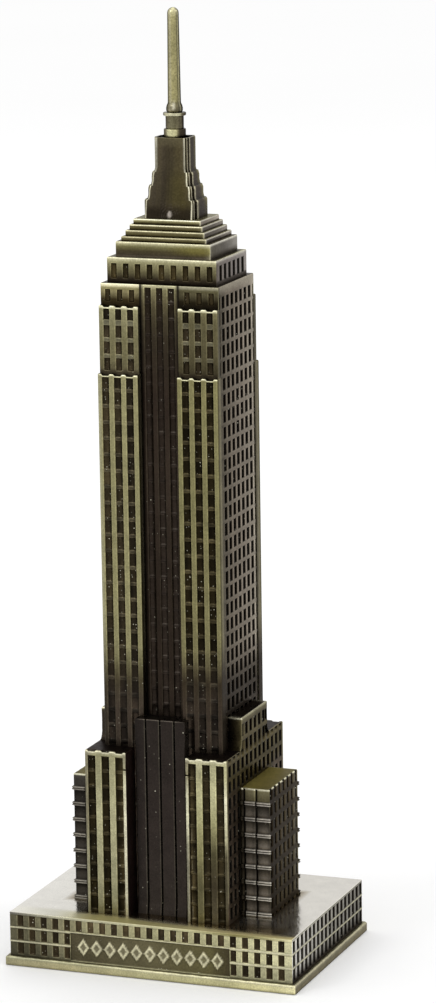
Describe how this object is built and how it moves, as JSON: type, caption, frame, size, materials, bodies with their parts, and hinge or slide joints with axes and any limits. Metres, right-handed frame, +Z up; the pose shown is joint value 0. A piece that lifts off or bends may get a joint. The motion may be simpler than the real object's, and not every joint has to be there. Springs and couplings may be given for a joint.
{
  "type": "miniature landmark model",
  "caption": "Cast metal desk souvenir of a stepped art deco skyscraper with gridded relief walls, tiered crown and mast, standing on a windowed plinth with a felt-lined base.",
  "frame": {"origin": "middle of the felt pad's underside, where the piece stands", "axes": "+Z up along the tower to the tip of the spire, -Y out of the front with the bare name band, +X out of the right side"},
  "size_m": [0.0778, 0.0558, 0.24],
  "materials": {
    "rubbed_brass": "antiqued, rubbed bright on the edges, satin",
    "dark_patinated_brass": "dark patina with worn edges, satin",
    "fastener_steel": "plain",
    "base_felt": "felt"
  },
  "bodies": {
    "root": {"back_centre_bay": "dark_patinated_brass", "back_wall": "rubbed_brass", "base_screw_back_left": "fastener_steel", "base_screw_back_right": "fastener_steel", "base_screw_front_left": "fastener_steel", "base_screw_front_right": "fastener_steel", "bottom_plate": "rubbed_brass", "crown_band": "rubbed_brass", "crown_block": "rubbed_brass", "crown_steps": "rubbed_brass", "deck_plate": "rubbed_brass", "felt_pad": "base_felt", "front_centre_bay": "dark_patinated_brass", "front_wall": "rubbed_brass", "gallery_ring": "rubbed_brass", "left_side_block": "dark_patinated_brass", "left_wall": "dark_patinated_brass", "left_wing": "dark_patinated_brass", "mast_back_plate": "rubbed_brass", "mast_collar": "rubbed_brass", "mast_core": "rubbed_brass", "mast_drum": "rubbed_brass", "mast_front_plate": "rubbed_brass", "mast_left_plate": "rubbed_brass", "mast_right_plate": "rubbed_brass", "pavilion_back_left": "rubbed_brass", "pavilion_back_right": "rubbed_brass", "pavilion_front_left": "rubbed_brass", "pavilion_front_right": "rubbed_brass", "plinth_back_panel": "rubbed_brass", "plinth_front_panel": "rubbed_brass", "plinth_left_panel": "rubbed_brass", "plinth_pillar_back_left": "rubbed_brass", "plinth_pillar_back_right": "rubbed_brass", "plinth_pillar_front_left": "rubbed_brass", "plinth_pillar_front_right": "rubbed_brass", "plinth_right_panel": "rubbed_brass", "right_side_block": "dark_patinated_brass", "right_wall": "dark_patinated_brass", "right_wing": "dark_patinated_brass", "spire_rod": "rubbed_brass", "tie_rod": "fastener_steel", "tie_rod_nut": "fastener_steel", "tie_rod_washer": "fastener_steel"}
  },
  "joints": []
}
